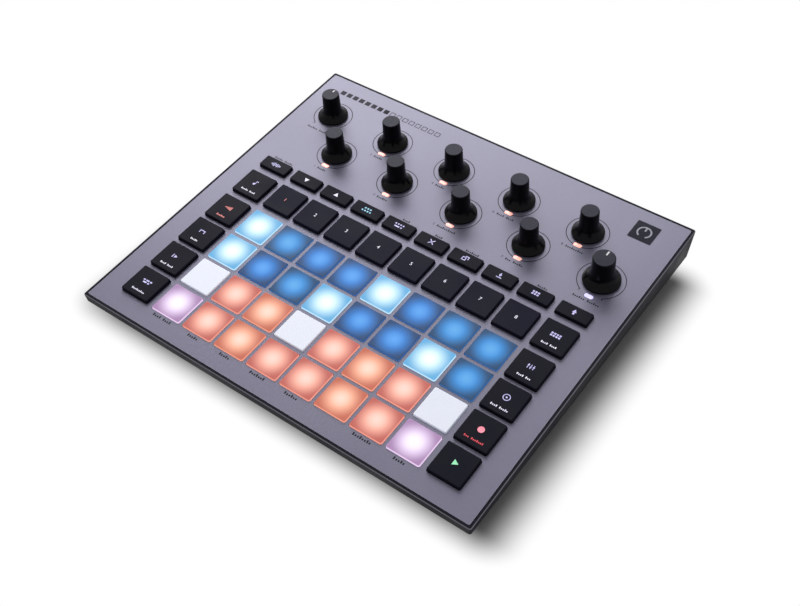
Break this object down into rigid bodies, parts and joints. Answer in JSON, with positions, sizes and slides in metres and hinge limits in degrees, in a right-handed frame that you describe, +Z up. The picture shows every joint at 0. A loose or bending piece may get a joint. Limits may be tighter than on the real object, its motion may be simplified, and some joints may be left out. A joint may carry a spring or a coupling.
{
  "type": "groovebox",
  "caption": "Wedge-shaped tabletop groovebox with a grid of lit pads, rows of black keys and skirted knobs on a grey panel, sockets at the rear.",
  "frame": {"origin": "on the table under the middle of the case", "axes": "+X to the player's right, +Y to the rear, +Z up"},
  "size_m": [0.2434, 0.2131, 0.0453],
  "materials": {
    "case_plastic": "fine-textured dark grey moulding",
    "panel_paint": "satin grey metallic",
    "key_black": "matte black silicone",
    "pad_silicone": "translucent white silicone",
    "knob_rubber": "soft-touch black",
    "board_green": "solder mask",
    "mat_silicone": "matte silicone",
    "steel": "plated",
    "clear_lens": "frosted clear",
    "socket_plastic": "black nylon",
    "battery_foil": "foil pouch",
    "foot_rubber": "matte rubber"
  },
  "bodies": {
    "chassis": {"lower_case": "case_plastic", "top_panel": "panel_paint", "circuit_boards": "board_green", "key_mat": "mat_silicone", "rotary_bodies": "steel", "light_pipes": "clear_lens", "midi_sockets": "socket_plastic", "jack_sockets": "socket_plastic", "data_sockets": "steel", "rear_plate": "case_plastic", "battery_pack": "battery_foil", "rubber_feet": "foot_rubber", "case_screws": "steel"},
    "sample_key": {"sample_key": "key_black"},
    "down_key": {"down_key": "key_black"},
    "up_key": {"up_key": "key_black"},
    "page_key": {"page_key": "key_black"},
    "tempo_key": {"tempo_key": "key_black"},
    "clear_key": {"clear_key": "key_black"},
    "duplicate_key": {"duplicate_key": "key_black"},
    "save_key": {"save_key": "key_black"},
    "projects_key": {"projects_key": "key_black"},
    "shift_key": {"shift_key": "key_black"},
    "track_key_1": {"track_key_1": "key_black"},
    "track_key_2": {"track_key_2": "key_black"},
    "track_key_3": {"track_key_3": "key_black"},
    "track_key_4": {"track_key_4": "key_black"},
    "track_key_5": {"track_key_5": "key_black"},
    "track_key_6": {"track_key_6": "key_black"},
    "track_key_7": {"track_key_7": "key_black"},
    "track_key_8": {"track_key_8": "key_black"},
    "note_key": {"note_key": "key_black"},
    "velocity_key": {"velocity_key": "key_black"},
    "gate_key": {"gate_key": "key_black"},
    "nudge_key": {"nudge_key": "key_black"},
    "chance_key": {"chance_key": "key_black"},
    "pattern_key": {"pattern_key": "key_black"},
    "mixer_key": {"mixer_key": "key_black"},
    "effects_key": {"effects_key": "key_black"},
    "record_key": {"record_key": "key_black"},
    "play_key": {"play_key": "key_black"},
    "pad_column_1": {"pad_column_1": "pad_silicone"},
    "pad_column_2": {"pad_column_2": "pad_silicone"},
    "pad_column_3": {"pad_column_3": "pad_silicone"},
    "pad_column_4": {"pad_column_4": "pad_silicone"},
    "pad_column_5": {"pad_column_5": "pad_silicone"},
    "pad_column_6": {"pad_column_6": "pad_silicone"},
    "pad_column_7": {"pad_column_7": "pad_silicone"},
    "pad_column_8": {"pad_column_8": "pad_silicone"},
    "macro_knob_1": {"macro_knob_1": "knob_rubber"},
    "macro_knob_2": {"macro_knob_2": "knob_rubber"},
    "macro_knob_3": {"macro_knob_3": "knob_rubber"},
    "macro_knob_4": {"macro_knob_4": "knob_rubber"},
    "macro_knob_5": {"macro_knob_5": "knob_rubber"},
    "macro_knob_6": {"macro_knob_6": "knob_rubber"},
    "macro_knob_7": {"macro_knob_7": "knob_rubber"},
    "macro_knob_8": {"macro_knob_8": "knob_rubber"},
    "volume_knob": {"volume_knob": "knob_rubber"},
    "filter_knob": {"filter_knob": "knob_rubber"},
    "power_button": {"power_button": "case_plastic"}
  },
  "joints": [
    {"name": "press_sample_key", "type": "slide", "parent": "chassis", "child": "sample_key", "axis": [0, 0.0663, -0.9978], "range_m": [0, 0.0012], "stiffness_N_per_m": 900, "springref_m": -0.0004},
    {"name": "press_down_key", "type": "slide", "parent": "chassis", "child": "down_key", "axis": [0, 0.0663, -0.9978], "range_m": [0, 0.0012], "stiffness_N_per_m": 900, "springref_m": -0.0004},
    {"name": "press_up_key", "type": "slide", "parent": "chassis", "child": "up_key", "axis": [0, 0.0663, -0.9978], "range_m": [0, 0.0012], "stiffness_N_per_m": 900, "springref_m": -0.0004},
    {"name": "press_page_key", "type": "slide", "parent": "chassis", "child": "page_key", "axis": [0, 0.0663, -0.9978], "range_m": [0, 0.0012], "stiffness_N_per_m": 900, "springref_m": -0.0004},
    {"name": "press_tempo_key", "type": "slide", "parent": "chassis", "child": "tempo_key", "axis": [0, 0.0663, -0.9978], "range_m": [0, 0.0012], "stiffness_N_per_m": 900, "springref_m": -0.0004},
    {"name": "press_clear_key", "type": "slide", "parent": "chassis", "child": "clear_key", "axis": [0, 0.0663, -0.9978], "range_m": [0, 0.0012], "stiffness_N_per_m": 900, "springref_m": -0.0004},
    {"name": "press_duplicate_key", "type": "slide", "parent": "chassis", "child": "duplicate_key", "axis": [0, 0.0663, -0.9978], "range_m": [0, 0.0012], "stiffness_N_per_m": 900, "springref_m": -0.0004},
    {"name": "press_save_key", "type": "slide", "parent": "chassis", "child": "save_key", "axis": [0, 0.0663, -0.9978], "range_m": [0, 0.0012], "stiffness_N_per_m": 900, "springref_m": -0.0004},
    {"name": "press_projects_key", "type": "slide", "parent": "chassis", "child": "projects_key", "axis": [0, 0.0663, -0.9978], "range_m": [0, 0.0012], "stiffness_N_per_m": 900, "springref_m": -0.0004},
    {"name": "press_shift_key", "type": "slide", "parent": "chassis", "child": "shift_key", "axis": [0, 0.0663, -0.9978], "range_m": [0, 0.0012], "stiffness_N_per_m": 900, "springref_m": -0.0004},
    {"name": "press_track_key_1", "type": "slide", "parent": "chassis", "child": "track_key_1", "axis": [0, 0.0663, -0.9978], "range_m": [0, 0.0012], "stiffness_N_per_m": 900, "springref_m": -0.0004},
    {"name": "press_track_key_2", "type": "slide", "parent": "chassis", "child": "track_key_2", "axis": [0, 0.0663, -0.9978], "range_m": [0, 0.0012], "stiffness_N_per_m": 900, "springref_m": -0.0004},
    {"name": "press_track_key_3", "type": "slide", "parent": "chassis", "child": "track_key_3", "axis": [0, 0.0663, -0.9978], "range_m": [0, 0.0012], "stiffness_N_per_m": 900, "springref_m": -0.0004},
    {"name": "press_track_key_4", "type": "slide", "parent": "chassis", "child": "track_key_4", "axis": [0, 0.0663, -0.9978], "range_m": [0, 0.0012], "stiffness_N_per_m": 900, "springref_m": -0.0004},
    {"name": "press_track_key_5", "type": "slide", "parent": "chassis", "child": "track_key_5", "axis": [0, 0.0663, -0.9978], "range_m": [0, 0.0012], "stiffness_N_per_m": 900, "springref_m": -0.0004},
    {"name": "press_track_key_6", "type": "slide", "parent": "chassis", "child": "track_key_6", "axis": [0, 0.0663, -0.9978], "range_m": [0, 0.0012], "stiffness_N_per_m": 900, "springref_m": -0.0004},
    {"name": "press_track_key_7", "type": "slide", "parent": "chassis", "child": "track_key_7", "axis": [0, 0.0663, -0.9978], "range_m": [0, 0.0012], "stiffness_N_per_m": 900, "springref_m": -0.0004},
    {"name": "press_track_key_8", "type": "slide", "parent": "chassis", "child": "track_key_8", "axis": [0, 0.0663, -0.9978], "range_m": [0, 0.0012], "stiffness_N_per_m": 900, "springref_m": -0.0004},
    {"name": "press_note_key", "type": "slide", "parent": "chassis", "child": "note_key", "axis": [0, 0.0663, -0.9978], "range_m": [0, 0.0012], "stiffness_N_per_m": 900, "springref_m": -0.0004},
    {"name": "press_velocity_key", "type": "slide", "parent": "chassis", "child": "velocity_key", "axis": [0, 0.0663, -0.9978], "range_m": [0, 0.0012], "stiffness_N_per_m": 900, "springref_m": -0.0004},
    {"name": "press_gate_key", "type": "slide", "parent": "chassis", "child": "gate_key", "axis": [0, 0.0663, -0.9978], "range_m": [0, 0.0012], "stiffness_N_per_m": 900, "springref_m": -0.0004},
    {"name": "press_nudge_key", "type": "slide", "parent": "chassis", "child": "nudge_key", "axis": [0, 0.0663, -0.9978], "range_m": [0, 0.0012], "stiffness_N_per_m": 900, "springref_m": -0.0004},
    {"name": "press_chance_key", "type": "slide", "parent": "chassis", "child": "chance_key", "axis": [0, 0.0663, -0.9978], "range_m": [0, 0.0012], "stiffness_N_per_m": 900, "springref_m": -0.0004},
    {"name": "press_pattern_key", "type": "slide", "parent": "chassis", "child": "pattern_key", "axis": [0, 0.0663, -0.9978], "range_m": [0, 0.0012], "stiffness_N_per_m": 900, "springref_m": -0.0004},
    {"name": "press_mixer_key", "type": "slide", "parent": "chassis", "child": "mixer_key", "axis": [0, 0.0663, -0.9978], "range_m": [0, 0.0012], "stiffness_N_per_m": 900, "springref_m": -0.0004},
    {"name": "press_effects_key", "type": "slide", "parent": "chassis", "child": "effects_key", "axis": [0, 0.0663, -0.9978], "range_m": [0, 0.0012], "stiffness_N_per_m": 900, "springref_m": -0.0004},
    {"name": "press_record_key", "type": "slide", "parent": "chassis", "child": "record_key", "axis": [0, 0.0663, -0.9978], "range_m": [0, 0.0012], "stiffness_N_per_m": 900, "springref_m": -0.0004},
    {"name": "press_play_key", "type": "slide", "parent": "chassis", "child": "play_key", "axis": [0, 0.0663, -0.9978], "range_m": [0, 0.0012], "stiffness_N_per_m": 900, "springref_m": -0.0004},
    {"name": "press_pad_column_1", "type": "slide", "parent": "chassis", "child": "pad_column_1", "axis": [0, 0.0663, -0.9978], "range_m": [0, 0.0006], "stiffness_N_per_m": 1600, "springref_m": -0.0004},
    {"name": "press_pad_column_2", "type": "slide", "parent": "chassis", "child": "pad_column_2", "axis": [0, 0.0663, -0.9978], "range_m": [0, 0.0006], "stiffness_N_per_m": 1600, "springref_m": -0.0004},
    {"name": "press_pad_column_3", "type": "slide", "parent": "chassis", "child": "pad_column_3", "axis": [0, 0.0663, -0.9978], "range_m": [0, 0.0006], "stiffness_N_per_m": 1600, "springref_m": -0.0004},
    {"name": "press_pad_column_4", "type": "slide", "parent": "chassis", "child": "pad_column_4", "axis": [0, 0.0663, -0.9978], "range_m": [0, 0.0006], "stiffness_N_per_m": 1600, "springref_m": -0.0004},
    {"name": "press_pad_column_5", "type": "slide", "parent": "chassis", "child": "pad_column_5", "axis": [0, 0.0663, -0.9978], "range_m": [0, 0.0006], "stiffness_N_per_m": 1600, "springref_m": -0.0004},
    {"name": "press_pad_column_6", "type": "slide", "parent": "chassis", "child": "pad_column_6", "axis": [0, 0.0663, -0.9978], "range_m": [0, 0.0006], "stiffness_N_per_m": 1600, "springref_m": -0.0004},
    {"name": "press_pad_column_7", "type": "slide", "parent": "chassis", "child": "pad_column_7", "axis": [0, 0.0663, -0.9978], "range_m": [0, 0.0006], "stiffness_N_per_m": 1600, "springref_m": -0.0004},
    {"name": "press_pad_column_8", "type": "slide", "parent": "chassis", "child": "pad_column_8", "axis": [0, 0.0663, -0.9978], "range_m": [0, 0.0006], "stiffness_N_per_m": 1600, "springref_m": -0.0004},
    {"name": "turn_macro_knob_1", "type": "hinge", "parent": "chassis", "child": "macro_knob_1", "pos_m": [-0.07508, 0.04919, 0.02665], "axis": [0, -0.0663, 0.9978], "continuous": true},
    {"name": "turn_macro_knob_2", "type": "hinge", "parent": "chassis", "child": "macro_knob_2", "pos_m": [-0.05362, 0.07414, 0.02831], "axis": [0, -0.0663, 0.9978], "continuous": true},
    {"name": "turn_macro_knob_3", "type": "hinge", "parent": "chassis", "child": "macro_knob_3", "pos_m": [-0.03218, 0.04919, 0.02665], "axis": [0, -0.0663, 0.9978], "continuous": true},
    {"name": "turn_macro_knob_4", "type": "hinge", "parent": "chassis", "child": "macro_knob_4", "pos_m": [-0.01073, 0.07414, 0.02831], "axis": [0, -0.0663, 0.9978], "continuous": true},
    {"name": "turn_macro_knob_5", "type": "hinge", "parent": "chassis", "child": "macro_knob_5", "pos_m": [0.01073, 0.04919, 0.02665], "axis": [0, -0.0663, 0.9978], "continuous": true},
    {"name": "turn_macro_knob_6", "type": "hinge", "parent": "chassis", "child": "macro_knob_6", "pos_m": [0.03218, 0.07414, 0.02831], "axis": [0, -0.0663, 0.9978], "continuous": true},
    {"name": "turn_macro_knob_7", "type": "hinge", "parent": "chassis", "child": "macro_knob_7", "pos_m": [0.05362, 0.04919, 0.02665], "axis": [0, -0.0663, 0.9978], "continuous": true},
    {"name": "turn_macro_knob_8", "type": "hinge", "parent": "chassis", "child": "macro_knob_8", "pos_m": [0.07508, 0.07414, 0.02831], "axis": [0, -0.0663, 0.9978], "continuous": true},
    {"name": "turn_volume_knob", "type": "hinge", "parent": "chassis", "child": "volume_knob", "pos_m": [-0.09748, 0.07414, 0.02831], "axis": [0, -0.0663, 0.9978], "range_deg": [-150, 150]},
    {"name": "turn_filter_knob", "type": "hinge", "parent": "chassis", "child": "filter_knob", "pos_m": [0.09748, 0.04919, 0.02665], "axis": [0, -0.0663, 0.9978], "range_deg": [-150, 150]},
    {"name": "press_power_button", "type": "slide", "parent": "chassis", "child": "power_button", "axis": [0, -1, 0], "range_m": [0, 0.002], "stiffness_N_per_m": 700, "springref_m": -0.0006}
  ]
}
